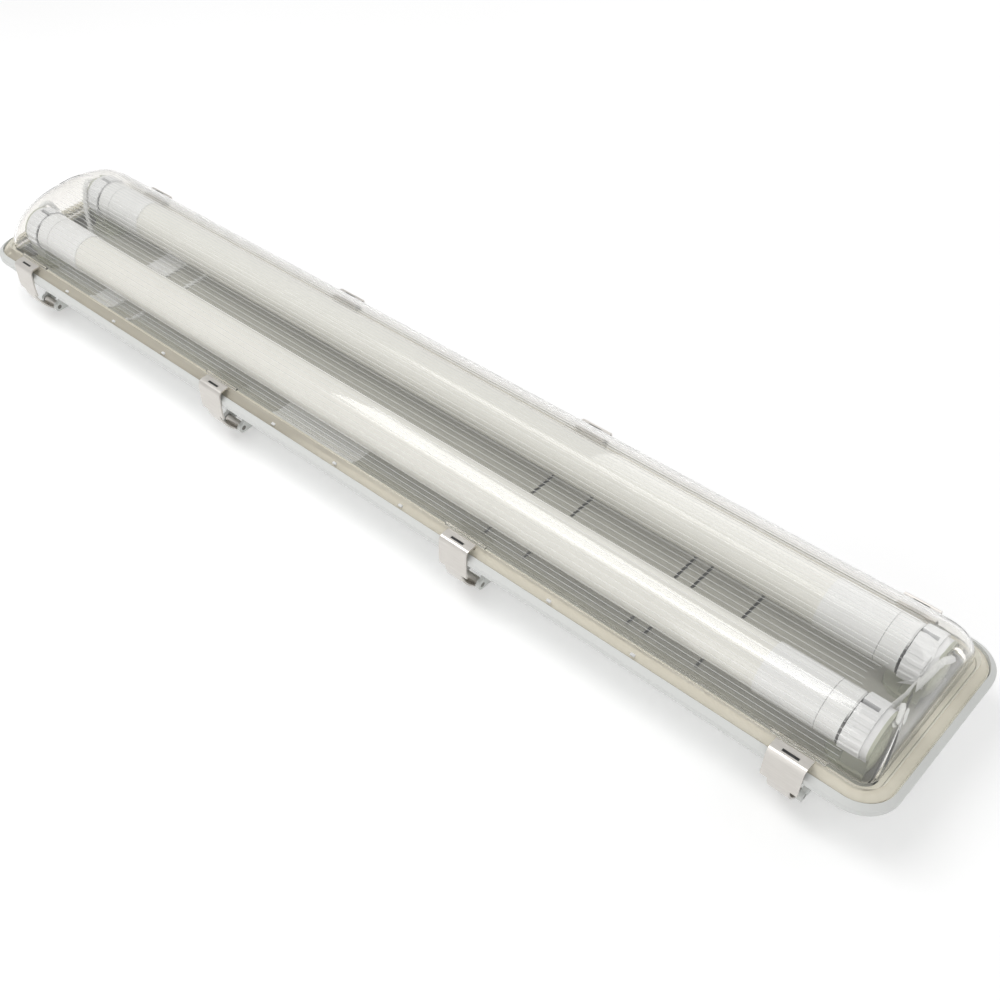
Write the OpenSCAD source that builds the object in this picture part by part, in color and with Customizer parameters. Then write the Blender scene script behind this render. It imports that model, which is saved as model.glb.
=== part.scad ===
// Vapor tight light fixture for two lamp tubes, lying on its back with the clear cover up.
// X runs along the fixture, Y across it and Z out through the cover, all in millimetres.

/* [Lamp tubes] */
// Length of a tube between its end faces
tube_l = 589.8; // [450:0.1:900]
// Diameter of a tube
tube_d = 26; // [24:0.5:27]
// Distance between the axes of the two tubes
tube_pitch = 51.3; // [48:0.1:54]
// Height of the tube axes above the tray
tube_rise = 23.6; // [22:0.1:26]
// Wall of the tube's envelope
tube_wall = 1; // [0.8:0.1:1.5]
// Length of the cap on a tube's end
cap_l = 42; // [30:1:50]
// Wall of a tube's cap
cap_wall = 0.5; // [0.3:0.05:0.8]
// Thickness of a cap's end plate
cap_end_t = 3; // [2:0.1:4]
// Diameter of a contact pin
lamp_pin_d = 2.35; // [2:0.05:2.6]
// Distance between the two contact pins of an end
lamp_pin_pitch = 12.7; // [12:0.1:13.5]
// Length of a contact pin beyond the end face
lamp_pin_l = 7.1; // [6:0.1:7.5]
// Width of the board that carries the light sources
board_w = 15; // [12:0.5:17]
// Thickness of that board
board_t = 1.6; // [1:0.1:2]
// Number of light sources in a tube
led_count = 24; // [12:1:40]

/* [Housing] */
// Length from a tube's end face to the outer end of the housing rim
end_room = 33.6; // [33:0.1:50]
// Distance from a tube's side to the outer face of the housing rim
side_room = 21.35; // [21:0.05:26]
// Height of the rim's top edge above the back
housing_h = 42; // [41:1:50]
// Height of the rim band
rim_h = 7; // [6.5:0.5:8]
// Radius of the rim's corners in plan
rim_r = 19; // [18:1:26]
// Thickness of the rim's outer lip
lip_t = 3; // [2.5:0.1:3.4]
// Fall of the lip's top towards the outside
lip_fall = 2; // [1.5:0.1:2.5]
// Radius under the rim's outer edge
rim_edge_r = 2.5; // [1.5:0.1:3]
// Thickness of the floor of the gasket channel
channel_floor_t = 2; // [1.5:0.1:2.5]
// Thickness of the channel's inner wall
channel_wall_t = 2.2; // [1.5:0.1:2.4]
// Overhang of the rim past the tub below it
rim_overhang = 6.5; // [5.5:0.1:7]
// Lean of each long side from the rim to the back
side_lean = 19.5; // [17:0.5:22]
// Lean of each end from the rim to the back
end_lean = 9; // [6:0.5:12]
// Radius of the tub's corners at the back
back_r = 8; // [6:0.5:10]
// Thickness of the tub's walls, measured level
tub_wall = 2.8; // [2.2:0.1:3]
// Thickness of the tub's floor
floor_t = 2.5; // [2:0.1:3]

/* [Cover] */
// Height of the crown of the cover above its flange
dome_rise = 30.8; // [30:0.1:40]
// Wall of the cover
dome_wall = 2; // [1.5:0.1:2.2]
// Radius of the cover's long shoulders
shoulder_r = 28; // [24:0.5:28]
// Drop of the shoulders' centre below the flange's top
shoulder_drop = 0.7; // [0:0.1:2]
// Length of the rounded ends of the cover
dome_end_l = 14; // [11:0.5:16]
// Width of the cover's flange
flange_w = 7.2; // [7:0.1:8]
// Thickness of the flange
flange_t = 5.2; // [5:0.1:6]
// Width and drop of the bevel on the flange's outer edge
flange_bevel = 4.2; // [3.8:0.1:4.4]
// Gap between the flange and the rim's lip
flange_gap = 0.8; // [0.5:0.1:1]
// Height of the gasket
gasket_t = 3; // [2.5:0.1:3.5]
// Gap at each side of the gasket in its channel
gasket_gap = 0.3; // [0.2:0.05:0.5]
// Length of the raised bar on the flange at each clip
seat_bar_l = 27; // [20:1:34]
// Width of that bar
seat_bar_w = 1.6; // [1:0.1:2]
// Height of that bar
seat_bar_h = 1; // [0.5:0.1:1.4]

/* [Clips] */
// Number of clips along each side
clips_per_side = 4; // [4:1:4]
// Distance from the rim's end to the middle of the first clip
clip_end_inset = 44.25; // [40:0.25:60]
// Width of a clip's plate
clip_w = 18.5; // [16:0.5:22]
// Width of the narrow tongue below it
clip_tongue_w = 11; // [9:0.5:12]
// Thickness of the clip's sheet
clip_t = 1; // [0.8:0.05:1.1]
// Rise of the clip's top above the flange
clip_rise = 1.6; // [0.7:0.05:2]
// Overhang of the clip's plate past the rim
clip_stand_off = 1.2; // [1.15:0.05:1.6]
// Inset of the clip's lip from the rim's outer face
clip_lip_inset = 6.5; // [6.3:0.05:6.8]
// Radius of the clip's shoulder
clip_shoulder_r = 3; // [2:0.1:3]
// Height of the clip's hinge axis above the back
clip_axis_h = 9.5; // [8:0.1:10.5]
// Inset of the clip's hinge axis from the rim's outer face
clip_axis_inset = 14; // [13:0.1:14.5]
// Outer radius of the curl round the hinge pin
clip_curl_r = 2.6; // [2.4:0.1:2.8]
// Radial clearance of the curl on its pin
clip_pin_clear = 0.05; // [0.03:0.01:0.08]
// Thickness of an ear that holds the hinge pin
ear_t = 2.5; // [2:0.1:3]
// Radius of an ear round the pin
ear_r = 3.2; // [3:0.1:3.6]
// Gap between the tongue and an ear
ear_gap = 0.4; // [0.3:0.05:0.8]

/* [Tray] */
// Thickness of the tray's sheet
tray_t = 0.8; // [0.6:0.1:1]
// Height of the tray's folded edges
tray_skirt_h = 6; // [4:0.5:8]
// Gap between the tray and the tub's walls
tray_gap = 1.4; // [1:0.1:2]
// Distance from the tray's end to its screw
tray_screw_inset = 62; // [50:1:80]
// Width of a punched slot in the tray
slot_w = 1.6; // [1:0.1:2.5]
// Length of a punched slot
slot_l = 20; // [8:1:24]

/* [Lampholders] */
// Diameter of a lampholder's drum
drum_d = 28; // [27:0.5:28.5]
// Gap between the tube's end face and the drum
drum_gap = 0.5; // [0.3:0.1:1]
// Length of the drum
drum_l = 9.6; // [9:0.1:10.5]
// Thickness of the back plate behind the drum
drum_back_t = 4.5; // [4:0.1:5]
// Diameter of the rotor that takes the contact pins
rotor_d = 18; // [17.5:0.1:19]
// Radial clearance of the rotor in the drum
rotor_clear = 0.05; // [0.03:0.01:0.08]
// Width of the stem that carries the drum
stem_w = 17; // [14:0.5:20]
// Radius of the lampholder's half round foot
foot_r = 10; // [9:0.5:11]
// Thickness of the foot
foot_t = 3; // [2:0.1:4]

/* [Mounting and wiring] */
// Distance from the rim's end to the mounting hole near it
mount_inset = 118.5; // [110:0.5:180]
// Diameter of a mounting hole
mount_hole_d = 6; // [5:0.1:7]
// Diameter of the cable entries
entry_d = 20.3; // [16:0.1:21]
// Drop of the cable entries' axis below the rim band
entry_drop = 18.5; // [17:0.1:20]
// Diameter of the hole for the cable in its grommet
cable_hole_d = 9; // [6:0.5:12]
// Diameter of a sleeved wire
wire_d = 3.2; // [2.4:0.1:3.4]

/* [Hidden] */
$fn = 48;
// Facets of a circle in the tub's hulls, and thickness of the plates that they join
hull_fn = 32;
skin_t = 0.01;
// Overrun of a cut past the surface that it goes through
over = 1;

// Outlines in plan
fixture_l = tube_l + 2 * end_room;
fixture_w = tube_pitch + tube_d + 2 * side_room;
half_l = fixture_l / 2;
half_w = fixture_w / 2;
corner_x = half_l - rim_r;
corner_y = half_w - rim_r;

// Heights above the back, and insets from the rim's outer face
channel_w = 6.4;
channel_lip_gap = 0.4;
tray_drop = 8;
rim_bottom = housing_h - rim_h;
channel_z = rim_bottom + channel_floor_t;
gasket_top = channel_z + gasket_t;
flange_top = gasket_top + flange_t;
crown_z = flange_top + dome_rise;
clip_top = flange_top + clip_rise;
flange_inset = lip_t + flange_gap;
dome_inset = flange_inset + flange_w;
tray_top = rim_bottom - tray_drop;
boss_top = tray_top - tray_t;
axis_z = tray_top + tube_rise;
axis_y = tube_pitch / 2;
tube_end = tube_l / 2;

// Share of the tub's lean that is left at height z, then its half width, half length and radius
lean_share = function (z) 1 - z / rim_bottom;
tub_hw = function (z) half_w - rim_overhang - side_lean * lean_share(z);
tub_hl = function (z) half_l - rim_overhang - end_lean * lean_share(z);
tub_r = function (z) back_r + (rim_r - rim_overhang - back_r) * (1 - lean_share(z));

// Bosses, collars and entries of the housing
mount_pitch = fixture_l - 2 * mount_inset;
boss_r = 5;
tray_screw_d = 2.8;
tray_screw_hole_d = 2.9;
mount_collar_r = 6;
mount_collar_h = 5;
seal_t = 1.5;
entry_h = rim_bottom - entry_drop;
entry_boss_r = 13;
entry_boss_out = 0.3;
entry_boss_l = 10;
entry_plug_l = 6.2;
entry_flange_t = 2;
entry_fit = 0.1;
entry_out_x = tub_hl(entry_h + entry_boss_r) + entry_boss_out;

// Arch of the cover: the crown's arc meets the two shoulder arcs smoothly
shoulder_z = flange_top - shoulder_drop;
dome_hw = half_w - dome_inset;
dome_hl = half_l - dome_inset;
dome_r = rim_r - dome_inset;
arch_rise = crown_z - shoulder_z;
shoulder_y = dome_hw - shoulder_r;
crown_r = (pow(shoulder_y, 2) - pow(shoulder_r, 2) + pow(arch_rise, 2))
    / (2 * (arch_rise - shoulder_r));
crown_centre_z = crown_z - crown_r;
join_a = atan2(shoulder_z - crown_centre_z, shoulder_y);
crown_flat = 1.5;
dome_r_growth = 22;
plan_r_share = 0.8;
dome_steps = 7;
seat_bar_back = 0.4;
shoulder_steps = 6;
crown_steps = 5;

// Clip: a plate outside the rim, a bow below its knee and a curl round the pin
clip_pitch = (fixture_l - 2 * clip_end_inset) / (clips_per_side - 1);
clip_axis_y = half_w - clip_axis_inset;
clip_pin_r = clip_curl_r - clip_t - clip_pin_clear;
ear_reach = clip_tongue_w / 2 + ear_gap;
clip_y = half_w + clip_stand_off;
clip_lip_y = half_w - clip_lip_inset;
clip_lip_clear = 0.3;
clip_lip_z = flange_top + half_w - flange_inset - flange_bevel - clip_lip_y + clip_lip_clear;
clip_knee_drop = 2;
clip_knee_z = rim_bottom - clip_knee_drop;
clip_step_drop = 20;
knee_rise = clip_knee_z - clip_axis_h;
knee_out = clip_y - clip_axis_y;
bow_r = (pow(knee_out, 2) + pow(knee_rise, 2) - pow(clip_curl_r, 2)) / (2 * (knee_out - clip_curl_r));
bow_y = clip_y - bow_r;
bow_a = atan2(-knee_rise, clip_axis_y - bow_y);
bow_steps = 10;
clip_slot_l = 8.3;
clip_slot_w = 1.6;

// Tray and what is fixed to it
tray_hw = tub_hw(tray_top - tray_skirt_h) - tub_wall - tray_gap;
tray_hl = tub_hl(tray_top - tray_skirt_h) - tub_wall - tray_gap;
tray_screw_x = tray_hl - tray_screw_inset;
slot_x_shares = [0.305, 0.395, 0.617, 0.651, 0.751];
slot_y = 20;
screw_head_d = 6;
screw_head_h = 2;
screw_l = 14;
screw_slot_w = 0.9;
strap_w = 20;
strap_t = 1.2;
strap_inset = 81.2;
strap_x = strap_inset - tray_hl;
tie_inset = 110.7;
tie_x = tie_inset - tray_hl;
tie_w = 2.5;
label_l = 66;
label_w = 16;
label_t = 0.15;
label_x = -32.5;
label_y = -32;

// Lampholders and their rotors
rib_count = 20;
rib_h = 0.4;
rib_top_a = 3;
rib_foot_a = 6;
ribbed_outline = [for (i = [0:rib_count - 1], side = [-2, -1, 1, 2])
    let (a = (i + 0.5) * 360 / rib_count + sign(side) * (abs(side) > 1 ? rib_foot_a : rib_top_a),
         r = drum_d / 2 - (abs(side) > 1 ? rib_h : 0)) [r * cos(a), r * sin(a)]];
entry_slit_w = 2.6;
back_plate_inset = 1.5;
back_plate_r = drum_d / 2 - back_plate_inset;
rotor_depth = 8;
rotor_set_back = 0.6;
rotor_slot_w = 2.6;
stem_back = 7;
foot_steps = 14;
holder_x0 = tube_end + drum_gap;
holder_x1 = holder_x0 + drum_l + drum_back_t;
stem_x0 = holder_x1 - drum_back_t - stem_back;

// Inside of a tube
fit_gap = 0.05;
board_seat_gap = 0.1;
board_end_gap = 2;
envelope_l = tube_l - 2 * cap_end_t;
envelope_d = tube_d - 2 * cap_wall - 2 * fit_gap;
board_z = axis_z - sqrt(pow(envelope_d / 2 - tube_wall - board_seat_gap, 2) - pow(board_w / 2, 2));
board_l = envelope_l - 2 * board_end_gap;
led_l = 3.5;
led_w = 2.8;
led_t = 0.8;
driver_l = 36;
driver_edge = 1;
// Start and length of each block on the driver, as shares of its length, and its height
driver_block_shares = [[0.10, 0.28], [0.42, 0.22], [0.68, 0.24]];
driver_block_h = [5, 7, 4];
led_span = board_l - 2 * driver_l - 4 * led_l;

// Terminal block on the tub's floor
block_l = 34;
block_w = 16;
block_h = 13;
block_x = -121;
pole_count = 3;
pole_pitch = 10;
pole_screw_d = 4;
pole_screw_h = 3;
pole_slot_w = 0.8;
pole_wire_d = 4;

// Wires
wire_sides = 8;
wire_hole_d = 9;
wire_hole_x = holder_x0 + drum_l / 2;
wire_hole_y = 6.5;
wire_low_z = floor_t + block_h / 2;
wire_start_rise = 8.5;
wire_start_out = 0.5;
wire_gap = 0.4;
wire_way = back_plate_r + wire_d / 2 + wire_gap;

// Points on an arc about [x, y], from angle a0 to a1 in n steps
function arc(x, y, r, a0, a1, n) =
    [for (i = [0:n]) let (a = a0 + (a1 - a0) * i / n) [x + r * cos(a), y + r * sin(a)]];

module rounded_plate(hx, hy, r, t) {
    linear_extrude(t) {
        square([2 * hx, 2 * (hy - r)], center = true);
        square([2 * (hx - r), 2 * hy], center = true);
        for (sx = [-1, 1], sy = [-1, 1]) translate([sx * (hx - r), sy * (hy - r)]) circle(r);
    }
}

// Carries an outline round the rim; its x is counted outwards from the corner's centre
module round_the_rim() {
    for (mx = [0, 1], my = [0, 1]) mirror([mx, 0, 0]) mirror([0, my, 0])
        translate([corner_x, corner_y, 0]) rotate_extrude(angle = 90) children();
    for (my = [0, 1]) mirror([0, my, 0])
        translate([-corner_x, corner_y, 0]) rotate([90, 0, 90]) linear_extrude(2 * corner_x) children();
    for (mx = [0, 1]) mirror([mx, 0, 0])
        translate([corner_x, corner_y, 0]) rotate([90, 0, 0]) linear_extrude(2 * corner_y) children();
}

// Places a child at clip i of the side that faces +Y (side 1) or -Y (side -1)
module at_clip(i, side) {
    mirror([0, side < 0 ? 1 : 0, 0])
        translate([(i - (clips_per_side + 1) / 2) * clip_pitch, 0, 0]) children();
}

module at_clips() {
    for (i = [1:clips_per_side], side = [-1, 1]) at_clip(i, side) children();
}

// Housing: tub, rim with its gasket channel, ears for the clips, bosses and entries
module tub_solid(inset, z0, z1) {
    hull() for (z = [z0, z1]) translate([0, 0, z])
        rounded_plate(tub_hl(z) - inset, tub_hw(z) - inset, tub_r(z) - inset, skin_t, $fn = hull_fn);
}

module rim_outline() {
    outer = rim_r - lip_t;
    inner = outer - channel_w;
    polygon(concat(
        [[outer, housing_h], [rim_r, housing_h - lip_fall]],
        arc(rim_r - rim_edge_r, rim_bottom + rim_edge_r, rim_edge_r, 0, -90, 5),
        [[inner - channel_wall_t, rim_bottom],
         [inner - channel_wall_t, gasket_top - channel_lip_gap],
         [inner, gasket_top - channel_lip_gap],
         [inner, channel_z],
         [outer, channel_z]]));
}

module clip_ear() {
    translate([-ear_t / 2, 0, 0]) rotate([90, 0, 90]) linear_extrude(ear_t) {
        translate([clip_axis_y, clip_axis_h]) circle(ear_r);
        polygon([[clip_axis_y, clip_axis_h - ear_r], [clip_axis_y, clip_axis_h + ear_r],
                 [tub_hw(clip_axis_h + 2 * ear_r) - tub_wall / 2, clip_axis_h + 2 * ear_r],
                 [tub_hw(clip_axis_h - ear_r) - tub_wall / 2, clip_axis_h - ear_r]]);
    }
}

module base_housing() {
    color([0.84, 0.86, 0.85]) difference() {
        union() {
            difference() {
                union() {
                    tub_solid(0, 0, rim_bottom);
                    for (s = [-1, 1]) translate([s * (entry_out_x - entry_boss_l / 2), 0, entry_h])
                        rotate([0, 90, 0]) cylinder(h = entry_boss_l, r = entry_boss_r, center = true);
                }
                tub_solid(tub_wall, floor_t, rim_bottom);
            }
            round_the_rim() rim_outline();
            for (s = [-1, 1]) {
                translate([s * tray_screw_x, 0, 0]) cylinder(h = boss_top, r = boss_r);
                translate([s * mount_pitch / 2, 0, 0])
                    cylinder(h = floor_t + mount_collar_h, r = mount_collar_r);
            }
            at_clips() for (s = [-1, 1]) translate([s * (ear_reach + ear_t / 2), 0, 0]) clip_ear();
        }
        for (s = [-1, 1]) {
            translate([s * tray_screw_x, 0, floor_t + over])
                cylinder(h = boss_top, d = tray_screw_hole_d);
            translate([s * mount_pitch / 2, 0, -over])
                cylinder(h = floor_t + mount_collar_h + 2 * over, d = mount_hole_d);
            translate([s * entry_out_x, 0, entry_h]) rotate([0, 90, 0])
                cylinder(h = 2 * (entry_boss_l + over), d = entry_d, center = true);
        }
        at_clips() translate([0, clip_axis_y, clip_axis_h]) rotate([0, 90, 0])
            cylinder(h = 2 * (ear_reach + ear_t + over), r = clip_pin_r, center = true);
    }
}

// Gasket in the rim's channel
module gasket() {
    color([0.87, 0.80, 0.68]) round_the_rim()
        translate([rim_r - lip_t - channel_w + gasket_gap, channel_z])
            square([channel_w - 2 * gasket_gap, gasket_t]);
}

// Cover: a shallow arch with rounded ends on a bevelled flange, as rings [z, half length,
// half width, corner radius] from the bottom up, outside and inside
function arch_pts(inset, a0) = concat(
    arc(shoulder_y, shoulder_z, shoulder_r - inset, a0, join_a, shoulder_steps),
    [for (i = [1:crown_steps - 1]) let (a = join_a + (90 - join_a) * i / crown_steps)
        [(crown_r - inset) * cos(a), crown_centre_z + (crown_r - inset) * sin(a)]],
    [[crown_flat, crown_z - inset]]);
function end_hl(z, inset) =
    let (share = min(1, max(0, (z - shoulder_z) / (arch_rise - inset))))
    dome_hl - dome_end_l + (dome_end_l - inset) * sqrt(1 - share * share);
function dome_rings(inset, a0) = [for (p = arch_pts(inset, a0))
    let (r = dome_r - inset + dome_r_growth * (p[1] - shoulder_z) / arch_rise)
    [p[1], end_hl(p[1], inset), p[0], min(r, plan_r_share * p[0])]];
function rim_ring(z, inset) = [z, half_l - inset, half_w - inset, rim_r - inset];
outside_rings = concat(
    [rim_ring(gasket_top, flange_inset), rim_ring(flange_top - flange_bevel, flange_inset),
     rim_ring(flange_top, flange_inset + flange_bevel)],
    dome_rings(0, asin(shoulder_drop / shoulder_r)));
inside_rings = concat([rim_ring(gasket_top, dome_inset + dome_wall)], dome_rings(dome_wall, 0));

// Points of a ring, then the faces of a stack of rings and of the flat strip that closes it
ring_n = 4 * (dome_steps + 1);
function ring(g) = [for (q = [0:3], i = [0:dome_steps])
    let (a = 90 * (q + i / dome_steps), sx = q == 0 || q == 3 ? 1 : -1, sy = q < 2 ? 1 : -1)
    [sx * (g[1] - g[3]) + g[3] * cos(a), sy * (g[2] - g[3]) + g[3] * sin(a), g[0]]];
function stack_faces(first, count) = concat(
    [for (k = [0:count - 2], j = [0:ring_n - 1])
        let (a = first + k * ring_n + j, b = first + k * ring_n + (j + 1) % ring_n)
        each [[a, a + ring_n, b], [b, a + ring_n, b + ring_n]]],
    [for (j = [0:ring_n / 2 - 2]) let (t = first + (count - 1) * ring_n)
        each [[t + j, t + ring_n - 1 - j, t + j + 1],
              [t + j + 1, t + ring_n - 1 - j, t + ring_n - 2 - j]]]);
function turned(faces) = [for (f = faces) [f[0], f[2], f[1]]];

module cover_shell() {
    n = len(outside_rings);
    m = n * ring_n;
    bottom = [for (j = [0:ring_n - 1]) let (b = (j + 1) % ring_n)
        each [[j, b, m + j], [b, m + b, m + j]]];
    polyhedron(points = [for (g = concat(outside_rings, inside_rings)) each ring(g)],
        faces = concat(stack_faces(0, n), turned(stack_faces(m, len(inside_rings))), bottom),
        convexity = 6);
}

module diffuser() {
    bar_y = half_w - flange_inset - flange_bevel - seat_bar_w - seat_bar_back;
    color([0.90, 0.93, 0.93, 0.35]) {
        cover_shell();
        at_clips() translate([-seat_bar_l / 2, bar_y, flange_top - seat_bar_h])
            cube([seat_bar_l, seat_bar_w, 2 * seat_bar_h]);
    }
}

// Clip: one bent strip from its lip over the flange down to the curl round its pin
module clip_outline() {
    knee_y = clip_y - clip_shoulder_r;
    knee_top = clip_top - clip_shoulder_r;
    polygon(concat(
        [[clip_lip_y, clip_lip_z], [clip_lip_y, clip_top]],
        arc(knee_y, knee_top, clip_shoulder_r, 90, 0, 5),
        arc(bow_y, clip_knee_z, bow_r, 0, bow_a, bow_steps),
        arc(bow_y, clip_knee_z, bow_r - clip_t, bow_a, 0, bow_steps),
        arc(knee_y, knee_top, clip_shoulder_r - clip_t, 0, 90, 5),
        [[clip_lip_y + clip_t, clip_top - clip_t], [clip_lip_y + clip_t, clip_lip_z]]));
}

module clip() {
    color([0.80, 0.79, 0.76]) difference() {
        union() {
            intersection() {
                translate([-clip_w / 2, 0, 0]) rotate([90, 0, 90])
                    linear_extrude(clip_w) clip_outline();
                translate([-clip_w, 0, clip_top - clip_step_drop])
                    cube([2 * clip_w, 2 * clip_y, clip_top]);
            }
            translate([-clip_tongue_w / 2, 0, 0]) rotate([90, 0, 90])
                linear_extrude(clip_tongue_w) clip_outline();
            translate([-clip_tongue_w / 2, clip_axis_y, clip_axis_h]) rotate([0, 90, 0])
                cylinder(h = clip_tongue_w, r = clip_curl_r);
        }
        translate([0, clip_axis_y, clip_axis_h]) rotate([0, 90, 0])
            cylinder(h = clip_w, r = clip_pin_r + clip_pin_clear, center = true);
        translate([-clip_slot_l / 2, clip_lip_y + 3 * clip_t, clip_top - 2 * clip_t])
            cube([clip_slot_l, clip_slot_w, 3 * clip_t]);
    }
}

module clip_pins() {
    color([0.55, 0.54, 0.52]) at_clips() translate([0, clip_axis_y, clip_axis_h])
        rotate([0, 90, 0]) cylinder(h = 2 * (ear_reach + ear_t), r = clip_pin_r, center = true);
}

// Tray: a folded sheet that carries the lampholders
module gear_tray() {
    color([0.70, 0.70, 0.67]) difference() {
        translate([-tray_hl, -tray_hw, tray_top - tray_skirt_h])
            cube([2 * tray_hl, 2 * tray_hw, tray_skirt_h]);
        translate([-tray_hl - over, -tray_hw + tray_t, tray_top - tray_skirt_h - over])
            cube([2 * (tray_hl + over), 2 * (tray_hw - tray_t), tray_skirt_h - tray_t + over]);
        for (s = [-1, 1]) {
            translate([s * tray_screw_x, 0, boss_top - over])
                cylinder(h = tray_t + 2 * over, d = tray_screw_hole_d);
            for (sy = [-1, 1]) translate([s * wire_hole_x, sy * wire_hole_y, boss_top - over])
                cylinder(h = tray_t + 2 * over, d = wire_hole_d);
        }
        for (share = slot_x_shares, sy = [-1, 1])
            translate([share * tube_end, sy * slot_y, boss_top])
                cube([slot_w, slot_l, 4 * tray_t], center = true);
    }
}

module tray_screws() {
    color([0.72, 0.72, 0.70]) for (s = [-1, 1]) translate([s * tray_screw_x, 0, tray_top])
        difference() {
            union() {
                cylinder(h = screw_head_h, d = screw_head_d);
                translate([0, 0, -screw_l]) cylinder(h = screw_l, d = tray_screw_d);
            }
            for (a = [0, 90]) rotate([0, 0, a]) translate([0, 0, screw_head_h])
                cube([2 * tray_screw_d, screw_slot_w, screw_head_h], center = true);
        }
}

// White strap across the tray near its left end, and a thin tie beside it
module band(x, w, t) {
    translate([x - w / 2, -tray_hw - t, tray_top - tray_skirt_h]) difference() {
        cube([w, 2 * (tray_hw + t), tray_skirt_h + t]);
        translate([-over, t, -over]) cube([w + 2 * over, 2 * tray_hw, tray_skirt_h + over]);
    }
}
module tray_strap() { color([0.92, 0.92, 0.91]) band(strap_x, strap_w, strap_t); }
module wire_tie() { color([0.93, 0.93, 0.92]) band(tie_x, tie_w, strap_t); }

module rating_label() {
    color([0.93, 0.93, 0.92])
        translate([label_x - label_l / 2, label_y - label_w / 2, tray_top])
            cube([label_l, label_w, label_t]);
}

// Lampholder at the +X end, on the axis; the others are its mirror images
module holder() {
    color([0.94, 0.94, 0.95]) difference() {
        union() {
            translate([holder_x0, 0, axis_z]) rotate([90, 0, 90])
                linear_extrude(drum_l) polygon(ribbed_outline);
            translate([holder_x0 + drum_l, 0, axis_z]) rotate([0, 90, 0])
                cylinder(h = drum_back_t, r = back_plate_r);
            translate([stem_x0, -stem_w / 2, tray_top])
                cube([holder_x1 - stem_x0, stem_w, axis_z - tray_top]);
            translate([0, 0, tray_top]) linear_extrude(foot_t) polygon(concat(
                arc(stem_x0, 0, foot_r, 90, 270, foot_steps),
                [[holder_x1, -foot_r], [holder_x1, foot_r]]));
        }
        translate([holder_x0 - over, 0, axis_z]) rotate([0, 90, 0])
            cylinder(h = rotor_depth + over, d = rotor_d + 2 * rotor_clear);
        translate([holder_x0 - over, -entry_slit_w / 2, axis_z])
            cube([rotor_depth + over, entry_slit_w, drum_d]);
    }
}

module rotor() {
    color([0.96, 0.96, 0.97]) difference() {
        translate([holder_x0 + rotor_set_back, 0, axis_z]) rotate([0, 90, 0])
            cylinder(h = rotor_depth - rotor_set_back, d = rotor_d);
        translate([holder_x0, -rotor_d, axis_z - rotor_slot_w / 2])
            cube([rotor_depth - 2 * rotor_set_back, 2 * rotor_d, rotor_slot_w]);
    }
}

module at_end(sx, sy) {
    mirror([sx < 0 ? 1 : 0, 0, 0]) translate([0, sy * axis_y, 0]) children();
}

// Tube: envelope, caps, contact pins, light board and driver
module envelope(sy) {
    color([0.93, 0.93, 0.90]) translate([0, sy * axis_y, axis_z]) rotate([0, 90, 0]) difference() {
        cylinder(h = envelope_l, d = envelope_d, center = true);
        cylinder(h = envelope_l + over, d = envelope_d - 2 * tube_wall, center = true);
    }
}

module cap() {
    color([0.95, 0.95, 0.94]) difference() {
        translate([tube_end - cap_l, 0, axis_z]) rotate([0, 90, 0]) cylinder(h = cap_l, d = tube_d);
        translate([tube_end - cap_l - over, 0, axis_z]) rotate([0, 90, 0])
            cylinder(h = cap_l + over - cap_end_t, d = tube_d - 2 * cap_wall);
        for (s = [-1, 1]) translate([tube_end - cap_end_t - over, s * lamp_pin_pitch / 2, axis_z])
            rotate([0, 90, 0]) cylinder(h = cap_end_t + 2 * over, d = lamp_pin_d + 2 * fit_gap);
    }
}

module lamp_pins(sy) {
    color([0.80, 0.68, 0.42]) for (sx = [-1, 1], s = [-1, 1]) at_end(sx, sy)
        translate([tube_end - cap_end_t, s * lamp_pin_pitch / 2, axis_z])
            rotate([0, 90, 0]) cylinder(h = cap_end_t + lamp_pin_l, d = lamp_pin_d);
}

module led_board(sy) {
    color([0.90, 0.91, 0.90]) translate([-board_l / 2, sy * axis_y - board_w / 2, board_z])
        cube([board_l, board_w, board_t]);
}

module leds(sy) {
    color([0.95, 0.85, 0.45]) for (i = [0:led_count - 1])
        translate([led_span * (i / (led_count - 1) - 0.5), sy * axis_y, board_z + board_t + led_t / 2])
            cube([led_l, led_w, led_t], center = true);
}

module driver(sy) {
    w = board_w - 2 * driver_edge;
    color([0.20, 0.45, 0.30])
        translate([board_l / 2 - driver_l, sy * axis_y - w / 2, board_z + board_t]) {
            cube([driver_l, w, board_t]);
            for (i = [0:len(driver_block_shares) - 1])
                translate([driver_block_shares[i][0] * driver_l, driver_edge, board_t])
                    cube([driver_block_shares[i][1] * driver_l, w - 2 * driver_edge, driver_block_h[i]]);
        }
}

// Terminal block on the tub's floor, below the tray
module at_poles() {
    for (i = [0:pole_count - 1])
        translate([block_x + (i - (pole_count - 1) / 2) * pole_pitch, 0, floor_t]) children();
}

module terminal_block() {
    color([0.93, 0.93, 0.91]) difference() {
        translate([block_x - block_l / 2, -block_w / 2, floor_t]) cube([block_l, block_w, block_h]);
        at_poles() {
            translate([0, 0, block_h - pole_screw_h]) cylinder(h = pole_screw_h + over, d = pole_screw_d);
            translate([0, 0, wire_low_z - floor_t]) rotate([90, 0, 0])
                cylinder(h = block_w + over, d = pole_wire_d, center = true);
        }
    }
}

module terminal_screws() {
    color([0.75, 0.66, 0.40]) at_poles() translate([0, 0, block_h - pole_screw_h]) difference() {
        cylinder(h = pole_screw_h - pole_slot_w, d = pole_screw_d - 2 * fit_gap);
        translate([0, 0, pole_screw_h - pole_slot_w])
            cube([pole_screw_d, pole_slot_w, 2 * pole_slot_w], center = true);
    }
}

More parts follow.
